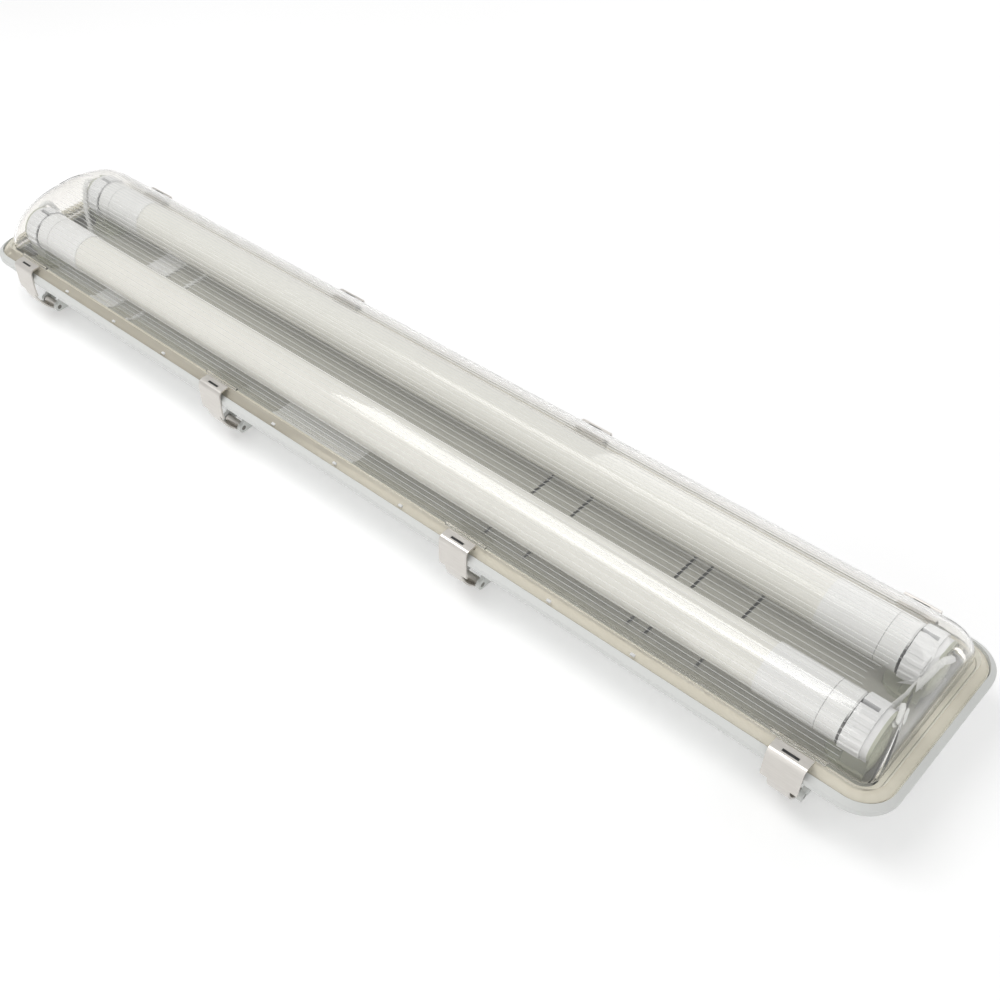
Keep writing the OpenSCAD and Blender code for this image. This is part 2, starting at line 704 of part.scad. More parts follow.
// Rubber grommet in the left entry and plug in the right one
module entry_fitting(s, hole) {
    mirror([s < 0 ? 1 : 0, 0, 0]) translate([entry_out_x - entry_plug_l, 0, entry_h])
        rotate([0, 90, 0]) difference() {
            union() {
                cylinder(h = entry_plug_l, d = entry_d - 2 * entry_fit);
                translate([0, 0, entry_plug_l])
                    cylinder(h = entry_flange_t, r = entry_boss_r - entry_fit);
            }
            if (hole > 0) translate([0, 0, -over])
                cylinder(h = entry_plug_l + entry_flange_t + 2 * over, d = hole);
            if (hole == 0) translate([0, 0, -over])
                cylinder(h = entry_plug_l, d = entry_d - 4 * entry_flange_t);
        }
}
module entry_grommet() { color([0.25, 0.25, 0.26]) entry_fitting(-1, cable_hole_d); }
module blanking_plug() { color([0.80, 0.82, 0.81]) entry_fitting(1, 0); }

module mount_seals() {
    color([0.30, 0.30, 0.31]) for (s = [-1, 1])
        translate([s * mount_pitch / 2, 0, floor_t + mount_collar_h]) difference() {
            cylinder(h = seal_t, r = mount_collar_r);
            translate([0, 0, -over]) cylinder(h = seal_t + 2 * over, d = mount_hole_d);
        }
}

// Wires run whole along their routes: holder, hole in the tray, under it to the block
function unit(v) = v / norm(v);
function curve(p, t) = let (
    n = len(p) - 1, i = min(n - 1, floor(t)), u = t - i,
    a = p[max(0, i - 1)], b = p[i], c = p[i + 1], d = p[min(n, i + 2)])
    b + u * (c - a) / 2 + u * u * (2 * a - 5 * b + 4 * c - d) / 2
      + u * u * u * (3 * b - a - 3 * c + d) / 2;
module sweep(route, steps) {
    n = len(route) - 1;
    m = n * steps;
    c = [for (k = [0:m]) curve(route, k / steps)];
    pts = [for (k = [0:m]) let (
            t = unit(c[min(m, k + 1)] - c[max(0, k - 1)]),
            u = unit(cross(t, [1, 1, 1])), v = cross(t, u))
        for (j = [0:wire_sides - 1]) let (a = 360 * j / wire_sides)
            c[k] + wire_d / 2 * (cos(a) * u + sin(a) * v)];
    sides = [for (k = [0:m - 1], j = [0:wire_sides - 1]) let (
            a = k * wire_sides + j, b = k * wire_sides + (j + 1) % wire_sides)
        each [[a, a + wire_sides, b], [b, a + wire_sides, b + wire_sides]]];
    ends = concat([for (j = [1:wire_sides - 2]) [0, j, j + 1]],
        [for (j = [1:wire_sides - 2]) [m * wire_sides, m * wire_sides + j + 1, m * wire_sides + j]]);
    polyhedron(points = pts, faces = concat(sides, ends), convexity = 6);
}

// Each wire leaves the back of its holder, passes over the inner side of the back plate and
// goes down through the tray
module wire(sx, sy, pole) {
    back = sx * holder_x1;
    out = sx * wire_d;
    run = wire_low_z + wire_d;
    end_x = block_x + pole * pole_pitch;
    lane = sy * wire_hole_y;
    color([0.93, 0.93, 0.92]) sweep([
        [back + sx * wire_start_out, sy * (axis_y - wire_d / 2), axis_z + wire_start_rise],
        [back + 0.56 * out, sy * (axis_y - wire_d), axis_z + wire_start_rise + wire_d / 2],
        [back, sy * (axis_y - wire_way * cos(45)), axis_z + wire_way * sin(45) + wire_d / 2],
        [back - out, sy * (axis_y - wire_way - wire_d / 2), axis_z - wire_d],
        [sx * wire_hole_x, lane, tray_top + wire_d],
        [sx * wire_hole_x, lane, tray_top - wire_d],
        [sx * (wire_hole_x - 3 * wire_d), lane, run],
        [sx * tray_screw_x, sy * (boss_r + 2 * wire_d), run],
        [end_x + sx * 4 * wire_d, sy * (block_w / 2 + 3 * wire_d), wire_low_z],
        [end_x, sy * (block_w / 2 + wire_d), wire_low_z],
        [end_x, sy * block_w / 2, wire_low_z]], 4);
}

base_housing();
gasket();
diffuser();
at_clip(1, -1) clip();  // clip_front_1
at_clip(2, -1) clip();  // clip_front_2
at_clip(3, -1) clip();  // clip_front_3
at_clip(4, -1) clip();  // clip_front_4
at_clip(1, 1) clip();  // clip_back_1
at_clip(2, 1) clip();  // clip_back_2
at_clip(3, 1) clip();  // clip_back_3
at_clip(4, 1) clip();  // clip_back_4
clip_pins();
gear_tray();
tray_screws();
tray_strap();
wire_tie();
rating_label();
at_end(-1, -1) holder();  // holder_front_left
at_end(1, -1) holder();  // holder_front_right
at_end(-1, 1) holder();  // holder_back_left
at_end(1, 1) holder();  // holder_back_right
at_end(-1, -1) rotor();  // rotor_front_left
at_end(1, -1) rotor();  // rotor_front_right
at_end(-1, 1) rotor();  // rotor_back_left
at_end(1, 1) rotor();  // rotor_back_right
envelope(-1);  // tube_front
envelope(1);  // tube_back
at_end(-1, -1) cap();  // cap_front_left
at_end(1, -1) cap();  // cap_front_right
at_end(-1, 1) cap();  // cap_back_left
at_end(1, 1) cap();  // cap_back_right
lamp_pins(-1);  // lamp_pins_front
lamp_pins(1);  // lamp_pins_back
led_board(-1);  // led_board_front
led_board(1);  // led_board_back
leds(-1);  // leds_front
leds(1);  // leds_back
driver(-1);  // driver_front
driver(1);  // driver_back
terminal_block();
terminal_screws();
wire(-1, -1, -1);  // wire_front_left
wire(1, -1, 1);  // wire_front_right
wire(-1, 1, -1);  // wire_back_left
wire(1, 1, 1);  // wire_back_right
entry_grommet();
blanking_plug();
mount_seals();
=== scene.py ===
"""Looks of a vapor tight light fixture with two tube lamps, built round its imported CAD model."""
import math

import bmesh
import bpy
from mathutils import Euler, Matrix, Vector


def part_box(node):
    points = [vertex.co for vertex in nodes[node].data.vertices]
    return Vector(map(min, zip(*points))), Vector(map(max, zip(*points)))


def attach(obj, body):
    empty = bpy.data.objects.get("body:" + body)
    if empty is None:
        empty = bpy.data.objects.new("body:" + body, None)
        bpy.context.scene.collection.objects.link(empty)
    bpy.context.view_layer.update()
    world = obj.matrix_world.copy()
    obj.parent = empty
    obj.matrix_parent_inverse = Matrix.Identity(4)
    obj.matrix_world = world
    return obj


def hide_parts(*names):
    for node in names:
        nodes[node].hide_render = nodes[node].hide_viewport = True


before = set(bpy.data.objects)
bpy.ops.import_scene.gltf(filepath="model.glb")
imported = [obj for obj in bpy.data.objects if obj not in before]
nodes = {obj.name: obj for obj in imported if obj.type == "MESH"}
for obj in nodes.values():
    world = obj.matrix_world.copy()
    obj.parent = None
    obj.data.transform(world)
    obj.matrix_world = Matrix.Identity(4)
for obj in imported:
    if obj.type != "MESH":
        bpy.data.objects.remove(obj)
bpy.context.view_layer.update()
MM = 0.001


def corners(node_name):
    """Lowest and highest corner of a CAD node in millimetres, to a hundredth."""
    return [[round(value / MM, 2) for value in corner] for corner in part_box(node_name)]


# Sizes in millimetres, read from the CAD nodes
HALF_L, HALF_W = corners("base_housing")[1][:2]
GASKET_TOP = corners("gasket")[1][2]
COVER_HIGH = corners("diffuser")[1]
CROWN_Z = COVER_HIGH[2]
CAP_LOW, CAP_HIGH = corners("cap_back_right")
TUBE_END = CAP_HIGH[0]
TUBE_R = (CAP_HIGH[2] - CAP_LOW[2]) / 2
AXIS_Y = (CAP_LOW[1] + CAP_HIGH[1]) / 2
AXIS_Z = (CAP_LOW[2] + CAP_HIGH[2]) / 2
BACK_END = corners("holder_back_right")[1][0]
CLIPS_PER_SIDE = 4
CLIP_X = [sum(corner[0] for corner in corners("clip_front_%d" % (k + 1))) / 2
          for k in range(CLIPS_PER_SIDE)]

# Sizes in millimetres that the part's source has too
RIM_R = 19.0
FLANGE_T = 5.2
FLANGE_W = 7.2
FLANGE_BEVEL = 4.2
WALL = 2.0
SHOULDER_R = 28.0
SHOULDER_DROP = 0.7
END_L = 14.0

# Worked out from them, as in the part's source
FLANGE_INSET = round(HALF_L - COVER_HIGH[0], 2)
FLANGE_TOP = GASKET_TOP + FLANGE_T
DOME_INSET = FLANGE_INSET + FLANGE_W
DOME_HALF_L = HALF_L - DOME_INSET
DOME_R = RIM_R - DOME_INSET
SHOULDER_Y = HALF_W - DOME_INSET - SHOULDER_R
SHOULDER_Z = FLANGE_TOP - SHOULDER_DROP
ARCH_RISE = CROWN_Z - SHOULDER_Z
CROWN_R = (SHOULDER_Y**2 - SHOULDER_R**2 + ARCH_RISE**2) / (2 * (ARCH_RISE - SHOULDER_R))
CROWN_CENTRE_Z = CROWN_Z - CROWN_R
JOIN_A = math.atan2(SHOULDER_Z - CROWN_CENTRE_Z, SHOULDER_Y)

# Corners of the arch: growth of their radius from the shoulder to the crown, its limit as a share
# of the half width there, and the half width at which the arch is closed by a flat strip
DOME_GROWTH = 9.0
PLAN_R_SHARE = 0.8
CROWN_HALF_GAP = 0.35

# Hollow flutes of the cover's inner side: their count to each half of the arch, their depth, the
# height of the narrow ridges between them, a ridge's reach as a share of a flute, and their ends
FLUTES = 21
FLUTE_DEPTH = 0.015
RIDGE_H = 0.02
RIDGE_REACH_SHARE = 0.2
FLUTE_END = 300.0
FLUTE_FADE = 1.5
FLUTE_ROOM = 1.0

# Steps of the cover's mesh
CORNER_STEPS = 7
CORNER_POINTS = CORNER_STEPS + 1
OUTSIDE_STEPS = 44
FLUTE_SAMPLES = 16
# Places in a ring of its two long faces, which lie between the ends of the flutes
LONG_FACES = (CORNER_POINTS + 1, 3 * CORNER_POINTS + 5)

# Zones of other tones, in millimetres: a line round each cap, and the shade at its end, whose top
# is above the lamp's axis and which keeps a least share of its strength
CAP_LINE_INSET = 11.4
CAP_LINE_HALF_W = 0.22
GAP_SHADE_L = 0.9
GAP_SHADE_TOP = 12.0
GAP_SHADE_FADE = 4.0
GAP_LEAST_SHARE = 0.25

# Painted shade inside the tub's ends, kept within its leaning walls and off its round corners
TUB_END_INSET = 16.5
TUB_SIDE_INSET = 27.0
END_LEAN_SHARE = 0.257
SIDE_LEAN_SHARE = 0.557
TUB_CORNER_CUT = 6.5
TUB_SHADE_X = 300.0
TUB_SHADE_TOP = 36.5

# The top of the gasket channel's inner wall, and the back and foot of a lampholder
CHANNEL_STAIN_Z = 37.2
CHANNEL_STAIN_INSET = 9.3
HOLDER_BACK_T = 1.45
FOOT_RISE = 1.5

# Finishes: places of a surface's two tones in its noise, the noise's detail, the grain of the gloss
# as a share of that of the colour, the least roughness and the strength of the relief
TONE_SHARES = (0.3, 0.7)
NOISE_DETAIL = 3.0
GLOSS_GRAIN_SHARE = 0.37
LEAST_ROUGH = 0.02
BUMP_STRENGTH = 0.5
# How much lighter the second tone of a zoned finish is, and that of the cover
ZONED_TONE_STEP = 0.012
COVER_TONE_STEP = 0.01
# The cover's grain, gloss and refraction, the tone of light that passes it and that of its haze
COVER_GRAIN = 60.0
COVER_STRETCH = (0.2, 1, 1)
COVER_ROUGH = 0.03
COVER_IOR = 1.42
PASSING_TONE = (0.97, 0.975, 0.97)
HAZE_TONE = (0.93, 0.94, 0.93)


# Materials
def material(name):
    """A new material, its node tree and its output node."""
    made = bpy.data.materials.new(name)
    made.use_nodes = True
    tree = made.node_tree
    tree.nodes.clear()
    return made, tree, tree.nodes.new("ShaderNodeOutputMaterial")


def link(tree, output, socket):
    tree.links.new(output, socket)


def feed(tree, socket, value):
    """Set a socket to a number, or link it to another node's output."""
    if isinstance(value, (int, float)):
        socket.default_value = value
    else:
        link(tree, value, socket)


def math_node(tree, operation, first, second=0.0, third=0.0):
    node = tree.nodes.new("ShaderNodeMath")
    node.operation = operation
    for socket, value in zip(node.inputs, (first, second, third)):
        feed(tree, socket, value)
    return node.outputs[0]


def ray_of(tree, *kinds):
    """1 for a ray of one of the named kinds, and 0 for any other."""
    path = tree.nodes.new("ShaderNodeLightPath")
    result = path.outputs["Is %s Ray" % kinds[0]]
    for kind in kinds[1:]:
        result = math_node(tree, "MAXIMUM", result, path.outputs["Is %s Ray" % kind])
    return result


def object_coords(tree, stretch=(1, 1, 1)):
    place = tree.nodes.new("ShaderNodeTexCoord")
    mapping = tree.nodes.new("ShaderNodeMapping")
    mapping.inputs["Scale"].default_value = stretch
    link(tree, place.outputs["Object"], mapping.inputs["Vector"])
    return mapping.outputs["Vector"]


def noise(tree, place, scale):
    node = tree.nodes.new("ShaderNodeTexNoise")
    node.inputs["Scale"].default_value = scale
    node.inputs["Detail"].default_value = NOISE_DETAIL
    link(tree, place, node.inputs["Vector"])
    return node.outputs["Fac"]


def two_tones(tree, factor, low, high):
    """A tone that goes from low to high over the middle of a factor from 0 to 1."""
    node = tree.nodes.new("ShaderNodeValToRGB")
    for stop, place, tone in zip(node.color_ramp.elements, TONE_SHARES, (low, high)):
        stop.position = place
        stop.color = (*tone, 1.0)
    link(tree, factor, node.inputs["Fac"])
    return node.outputs["Color"]


def lighter(tone, step):
    """A tone with a step added to each channel, up to white."""
    return tuple(min(1.0, channel + step) for channel in tone)


def bump(tree, height, distance):
    node = tree.nodes.new("ShaderNodeBump")
    node.inputs["Strength"].default_value = BUMP_STRENGTH
    node.inputs["Distance"].default_value = distance
    link(tree, height, node.inputs["Height"])
    return node.outputs["Normal"]


def mixed(tree, share, first, second):
    """Two shaders mixed, where share is the second one's."""
    node = tree.nodes.new("ShaderNodeMixShader")
    feed(tree, node.inputs["Fac"], share)
    link(tree, first, node.inputs[1])
    link(tree, second, node.inputs[2])
    return node.outputs["Shader"]


def surface(name, low, high, rough, metal=0.0, grain=220.0, stretch=(1, 1, 1), relief=0.0,
            coat=0.0, rough_spread=0.06):
    """A plain finish: two near colours mixed by fine noise, with varied gloss and, where relief is
    given in millimetres, a little relief."""
    made, tree, output = material(name)
    shader = tree.nodes.new("ShaderNodeBsdfPrincipled")
    place = object_coords(tree, stretch)
    speckle = noise(tree, place, grain)
    link(tree, two_tones(tree, speckle, low, high), shader.inputs["Base Color"])
    smoothest = max(LEAST_ROUGH, rough - rough_spread)
    roughest = rough + rough_spread
    gloss_speckle = noise(tree, place, grain * GLOSS_GRAIN_SHARE)
    gloss = two_tones(tree, gloss_speckle, (smoothest,) * 3, (roughest,) * 3)
    link(tree, gloss, shader.inputs["Roughness"])
    shader.inputs["Metallic"].default_value = metal
    shader.inputs["Coat Weight"].default_value = coat
    if relief:
        link(tree, bump(tree, speckle, relief * MM), shader.inputs["Normal"])
    link(tree, shader.outputs["BSDF"], output.inputs["Surface"])
    return made


def clear_plastic(name, tint, haze_share, haze_tone=HAZE_TONE):
    """Clear moulded plastic with a share of haze. It refracts what lies behind it, and the studio
    light passes straight through it to what it covers."""
    made, tree, output = material(name)
    glass = tree.nodes.new("ShaderNodeBsdfPrincipled")
    speckle = noise(tree, object_coords(tree, COVER_STRETCH), COVER_GRAIN)
    tone = two_tones(tree, speckle, tint, lighter(tint, COVER_TONE_STEP))
    link(tree, tone, glass.inputs["Base Color"])
    glass.inputs["Roughness"].default_value = COVER_ROUGH
    glass.inputs["IOR"].default_value = COVER_IOR
    glass.inputs["Transmission Weight"].default_value = 1.0
    clear = tree.nodes.new("ShaderNodeBsdfTransparent")
    clear.inputs["Color"].default_value = (*PASSING_TONE, 1)
    haze = tree.nodes.new("ShaderNodeBsdfDiffuse")
    haze.inputs["Color"].default_value = (*haze_tone, 1)
    seen = mixed(tree, haze_share, glass.outputs["BSDF"], haze.outputs["BSDF"])
    passing = ray_of(tree, "Shadow", "Diffuse")
    link(tree, mixed(tree, passing, seen, clear.outputs["BSDF"]), output.inputs["Surface"])
    return made


def zoned(name, base, zones, rough=0.3, coat=0.1, grain=90.0):
    """A plain finish with zones of other tones: zones is a list of (colour, test), and a test
    takes the tree, the distances |x| and |y| from the middle and the height z, and gives 0 to 1."""
    made, tree, output = material(name)
    shader = tree.nodes.new("ShaderNodeBsdfPrincipled")
    place = tree.nodes.new("ShaderNodeTexCoord")
    parts = tree.nodes.new("ShaderNodeSeparateXYZ")
    link(tree, place.outputs["Object"], parts.inputs["Vector"])
    far = math_node(tree, "ABSOLUTE", parts.outputs["X"])
    side = math_node(tree, "ABSOLUTE", parts.outputs["Y"])
    speckle = noise(tree, object_coords(tree), grain)
    tone = two_tones(tree, speckle, base, lighter(base, ZONED_TONE_STEP))
    for colour, test in zones:
        mix = tree.nodes.new("ShaderNodeMix")
        mix.data_type = "RGBA"
        link(tree, test(tree, far, side, parts.outputs["Z"]), mix.inputs["Factor"])
        link(tree, tone, mix.inputs["A"])
        mix.inputs["B"].default_value = (*colour, 1)
        tone = mix.outputs["Result"]
    link(tree, tone, shader.inputs["Base Color"])
    shader.inputs["Roughness"].default_value = rough
    shader.inputs["Coat Weight"].default_value = coat
    link(tree, shader.outputs["BSDF"], output.inputs["Surface"])
    return made


def cap_line(tree, far, side, z):
    """The fine line round a cap where its end part is pushed on."""
    return math_node(tree, "COMPARE", far, (TUBE_END - CAP_LINE_INSET) * MM, CAP_LINE_HALF_W * MM)


def gap_shade(tree, far, side, z):
    """The shade at a cap's end, in the gap before the lampholder; it fades towards the top."""
    near_end = math_node(tree, "GREATER_THAN", far, (TUBE_END - GAP_SHADE_L) * MM)
    depth = math_node(tree, "MULTIPLY_ADD", z, -1 / (GAP_SHADE_FADE * MM),
                      (AXIS_Z + GAP_SHADE_TOP) / GAP_SHADE_FADE)
    depth = math_node(tree, "MAXIMUM", depth, GAP_LEAST_SHARE)
    depth = math_node(tree, "MINIMUM", depth, 1.0)
    return math_node(tree, "MULTIPLY", near_end, depth)


def painted_tub_shade(tree, far, side, z):
    """Painted shade on the inner side of the tub's ends, whose walls lean inwards towards the back."""
    end_wall = math_node(tree, "MULTIPLY_ADD", z, END_LEAN_SHARE, (HALF_L - TUB_END_INSET) * MM)
    side_wall = math_node(tree, "MULTIPLY_ADD", z, SIDE_LEAN_SHARE, (HALF_W - TUB_SIDE_INSET) * MM)
    within = math_node(tree, "MULTIPLY", math_node(tree, "LESS_THAN", far, end_wall),
                       math_node(tree, "LESS_THAN", side, side_wall))
    # The outer face of a round corner is left out by its distance to both walls together
    both_walls = math_node(tree, "ADD", end_wall, side_wall)
    corner = math_node(tree, "ADD", both_walls, -TUB_CORNER_CUT * MM)
    off_corner = math_node(tree, "LESS_THAN", math_node(tree, "ADD", far, side), corner)
    within = math_node(tree, "MULTIPLY", within, off_corner)
    near_end = math_node(tree, "GREATER_THAN", far, TUB_SHADE_X * MM)
    low = math_node(tree, "LESS_THAN", z, TUB_SHADE_TOP * MM)
    return math_node(tree, "MULTIPLY", math_node(tree, "MULTIPLY", within, near_end), low)


def channel_wall(tree, far, side, z):
    """The top of the gasket channel's inner wall, in a cream tone like the gasket's."""
    high = math_node(tree, "GREATER_THAN", z, CHANNEL_STAIN_Z * MM)
    within_ends = math_node(tree, "LESS_THAN", far, (HALF_L - CHANNEL_STAIN_INSET) * MM)
    within_sides = math_node(tree, "LESS_THAN", side, (HALF_W - CHANNEL_STAIN_INSET) * MM)
    return math_node(tree, "MULTIPLY", high, math_node(tree, "MULTIPLY", within_ends, within_sides))


def back_or_foot(tree, far, side, z):
    """The olive back and foot of a lampholder."""
    back = math_node(tree, "GREATER_THAN", far, (BACK_END - HOLDER_BACK_T) * MM)
    foot = math_node(tree, "LESS_THAN", z, (AXIS_Z - TUBE_R + FOOT_RISE) * MM)
    return math_node(tree, "MAXIMUM", back, foot)


MAT = {
    # The dark zone inside the tub's ends is painted shade
    "housing": zoned("housing_plastic", (0.70, 0.71, 0.69),
                     [((0.27, 0.265, 0.24), painted_tub_shade), ((0.76, 0.72, 0.61), channel_wall)],
                     rough=0.42, coat=0.0, grain=420.0),
    "gasket": surface("gasket_foam", (0.84, 0.805, 0.71), (0.87, 0.835, 0.74), 0.8, grain=700,
                      relief=0.04),
    "cover": clear_plastic("clear_cover", (0.99, 0.978, 0.958), 0.025),
    "ridge": clear_plastic("cover_ridge", (0.97, 0.965, 0.94), 0.42),
    "flange_edge": clear_plastic("cover_flange_edge", (0.97, 0.96, 0.93), 0.4, (0.86, 0.79, 0.65)),
    "steel": surface("clip_steel", (0.63, 0.605, 0.57), (0.67, 0.645, 0.61), 0.34, metal=1.0,
                     grain=120, stretch=(1, 9, 9), relief=0.004, rough_spread=0.03),
    "dark_steel": surface("pin_steel", (0.18, 0.17, 0.16), (0.28, 0.27, 0.25), 0.4, metal=1.0,
                          grain=200),
    "tray": surface("tray_paint", (0.465, 0.46, 0.415), (0.50, 0.495, 0.45), 0.45, grain=300,
                    relief=0.02),
    "white": surface("white_plastic", (0.80, 0.80, 0.80), (0.84, 0.84, 0.84), 0.45, grain=260,
                     relief=0.02),
    # The rotors are near-black as painted shade, so that the slit in each lampholder's drum shows dark
    "rotor": surface("rotor_painted_shade", (0.10, 0.10, 0.10), (0.14, 0.14, 0.14), 0.5, grain=260),
    "holder": zoned("holder_plastic", (0.82, 0.82, 0.83), [((0.50, 0.51, 0.42), back_or_foot)]),
    "olive": surface("holder_back_plastic", (0.50, 0.51, 0.41), (0.54, 0.55, 0.45), 0.3, grain=200),
    "label": surface("label_film", (0.78, 0.78, 0.77), (0.82, 0.82, 0.81), 0.5, grain=300),
    "tube": surface("frosted_tube", (0.83, 0.82, 0.775), (0.845, 0.835, 0.79), 0.16, grain=40,
                    coat=0.2),
    "cap": zoned("tube_cap", (0.84, 0.84, 0.84),
                 [((0.42, 0.42, 0.42), cap_line), ((0.02, 0.02, 0.02), gap_shade)], rough=0.25),
    "brass": surface("contact_brass", (0.55, 0.42, 0.20), (0.68, 0.55, 0.30), 0.3, metal=1.0,
                     grain=200),
    "board": surface("light_board", (0.72, 0.73, 0.72), (0.78, 0.79, 0.78), 0.35, metal=0.4,
                     grain=150),
    "led": surface("light_source", (0.75, 0.62, 0.20), (0.86, 0.74, 0.32), 0.4, grain=500),
    "driver": surface("driver_board", (0.05, 0.16, 0.08), (0.10, 0.24, 0.14), 0.5, grain=500),
    "wire": surface("wire_sleeve", (0.82, 0.82, 0.81), (0.88, 0.88, 0.87), 0.6, grain=500,
                    relief=0.05),
    # Black rubber, also used for the painted shade in the clips' slots
    "rubber": surface("black_rubber", (0.02, 0.02, 0.02), (0.04, 0.04, 0.04), 0.6, grain=400,
                      relief=0.04),
}

# The finish of each CAD node, by the longest start that its name has
BY_START = {
    "base_housing": "housing", "gasket": "gasket", "diffuser": "cover", "clip_front": "steel",
    "clip_back": "steel", "clip_pins": "dark_steel", "gear_tray": "tray", "tray_screws": "steel",
    "tray_strap": "white", "wire_tie": "white", "rating_label": "label", "holder": "holder",
    "rotor": "rotor", "tube_": "tube", "cap_": "cap", "lamp_pins": "brass", "led_board": "board",
    "leds": "led", "driver": "driver", "terminal_block": "white", "terminal_screws": "brass",
    "wire_": "wire", "entry_grommet": "rubber", "blanking_plug": "housing",
    "mount_seals": "rubber",
}
for node_name, node_obj in nodes.items():
    best = max((start for start in BY_START if node_name.startswith(start)), key=len)
    node_obj.data.materials.clear()
    node_obj.data.materials.append(MAT[BY_START[best]])


# Pieces
def piece(name, verts, faces, finish, body, smooth_angle=40.0):
    """A mesh piece from points in millimetres, smooth but for edges sharper than an angle."""
    mesh = bpy.data.meshes.new(name)
    mesh.from_pydata([[value * MM for value in point] for point in verts], [], faces)
    mesh.validate()
    mesh.update()
    mesh.shade_smooth()
    mesh.set_sharp_from_angle(angle=math.radians(smooth_angle))
    mesh.materials.append(finish)
    obj = bpy.data.objects.new(name, mesh)
    bpy.context.scene.collection.objects.link(obj)
    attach(obj, body)
    return obj


def flute_limit(half_x, radius):
    """The farthest x at which a flute may start to fade, clear of the round corner."""
    return half_x - radius - FLUTE_ROOM - FLUTE_FADE


def ring(z, half_x, half_y, radius, flute_x=None, move_y=0.0, move_z=0.0):
    """A rounded rectangle at height z, with two extra points near each end of its long sides. The
    stretch of a long side within flute_x is moved by move_y outwards and by move_z up."""
    if flute_x is None:
        flute_x = flute_limit(half_x, radius)
    stations = ((flute_x + FLUTE_FADE, 0), (flute_x, 1), (-flute_x, 1), (-flute_x - FLUTE_FADE, 0))
    points = []
    for quarter in range(4):
        side_x = 1 if quarter in (0, 3) else -1
        side_y = 1 if quarter < 2 else -1
        for step in range(CORNER_POINTS):
            angle = math.pi / 2 * (quarter + step / CORNER_STEPS)
            points.append((side_x * (half_x - radius) + radius * math.cos(angle),
                           side_y * (half_y - radius) + radius * math.sin(angle), z))
        if quarter in (0, 2):
            for x, moved in stations:
                points.append((side_x * x, side_y * (half_y + move_y * moved), z + move_z * moved))
    return points


def end_half_length(z, inset):
    """Half length of the arch at height z: its ends curve in towards the crown."""
    rise_share = min(1.0, max(0.0, (z - SHOULDER_Z) / (ARCH_RISE - inset)))
    return DOME_HALF_L - END_L + (END_L - inset) * math.sqrt(1 - rise_share * rise_share)


def arch_points(inset, count, start_angle):
    """count + 1 points along the arch from the shoulder to the crown: y, z, the normal's angle and
    the share of the way."""
    shoulder_r = SHOULDER_R - inset
    crown_r = CROWN_R - inset
    shoulder_l = shoulder_r * (JOIN_A - start_angle)
    total = shoulder_l + crown_r * (math.pi / 2 - JOIN_A)
    points = []
    for k in range(count + 1):
        way = total * k / count
        if way < shoulder_l:
            angle = start_angle + way / shoulder_r
            y = SHOULDER_Y + shoulder_r * math.cos(angle)
            z = SHOULDER_Z + shoulder_r * math.sin(angle)
        else:
            angle = JOIN_A + (way - shoulder_l) / crown_r
            y = crown_r * math.cos(angle)
            z = CROWN_CENTRE_Z + crown_r * math.sin(angle)
        points.append((y, z, angle, way / total))
    return points


def fluted_height(share):
    """How far the fluted face stands in above a flute's bottom, at a share of the arch."""
    place = FLUTES * share
    off_ridge = abs(place - round(place))
    ridge_share = max(0.0, 1 - off_ridge / RIDGE_REACH_SHARE)
    return FLUTE_DEPTH * (1 - abs(math.sin(math.pi * place))) + RIDGE_H * ridge_share


def dome_ring(y, z, angle, share, inset, fluted):
    """A ring of the arch through the point y, z of its cross-section, with the normal's angle."""
    y = max(y, CROWN_HALF_GAP)
    half_l = end_half_length(z, inset)
    radius = DOME_R - inset + DOME_GROWTH * (z - SHOULDER_Z) / ARCH_RISE
    radius = min(radius, PLAN_R_SHARE * y)
    height = fluted_height(share) if fluted else 0.0
    flute_x = min(FLUTE_END, flute_limit(half_l, radius))
    return ring(z, half_l, y, radius, flute_x, -height * math.cos(angle), -height * math.sin(angle))


def rim_ring(z, inset):
    """A ring along the rim's outline, moved in."""
    return ring(z, HALF_L - inset, HALF_W - inset, RIM_R - inset)


def stack(first, count, size):
    """Faces over count rings of size points each, from the point first, and over the last ring."""
    faces = []
    for k in range(count - 1):
        for j in range(size):
            here = first + k * size + j
            beside = first + k * size + (j + 1) % size
            faces.append((here, beside, beside + size, here + size))
    top = first + (count - 1) * size
    for j in range(size // 2 - 1):
        faces.append((top + j, top + j + 1, top + size - 2 - j, top + size - 1 - j))
    return faces


def cover_shell():
    """The clear cover in place of its CAD node: flange and arch outside, fluted arch inside."""
    outside = [rim_ring(GASKET_TOP, FLANGE_INSET),
               rim_ring(FLANGE_TOP - FLANGE_BEVEL, FLANGE_INSET),
               rim_ring(FLANGE_TOP, FLANGE_INSET + FLANGE_BEVEL)]
    flange_angle = math.asin((FLANGE_TOP - SHOULDER_Z) / SHOULDER_R)
    for point in arch_points(0.0, OUTSIDE_STEPS, flange_angle):
        outside.append(dome_ring(*point, 0.0, False))
    inside = [rim_ring(GASKET_TOP, DOME_INSET + WALL)]
    for point in arch_points(WALL, FLUTES * FLUTE_SAMPLES, 0.0):
        inside.append(dome_ring(*point, WALL, True))
    size = len(outside[0])
    inner = len(outside) * size
    verts = [point for loop in outside + inside for point in loop]
    faces = stack(0, len(outside), size)
    first_inside = len(faces)
    faces += [tuple(reversed(face)) for face in stack(inner, len(inside), size)]
    for j in range(size):
        beside = (j + 1) % size
        faces.append((inner + j, inner + beside, beside, j))
    obj = piece("cover_shell", verts, faces, MAT["cover"], "cover", 38.0)
    obj.data.materials.append(MAT["ridge"])
    obj.data.materials.append(MAT["flange_edge"])
    ridge_index = 1
    edge_index = 2
    # The first two bands of faces are the flange's edge and its bevel
    for face in range(2 * size):
        obj.data.polygons[face].material_index = edge_index
    # The long faces on both sides of each ridge are milky, so that it shows as a line
    for band in range(1, len(inside) - 1):
        if (band - 1) % FLUTE_SAMPLES in (0, FLUTE_SAMPLES - 1):
            for face in LONG_FACES:
                obj.data.polygons[first_inside + band * size + face].material_index = ridge_index
    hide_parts("diffuser")


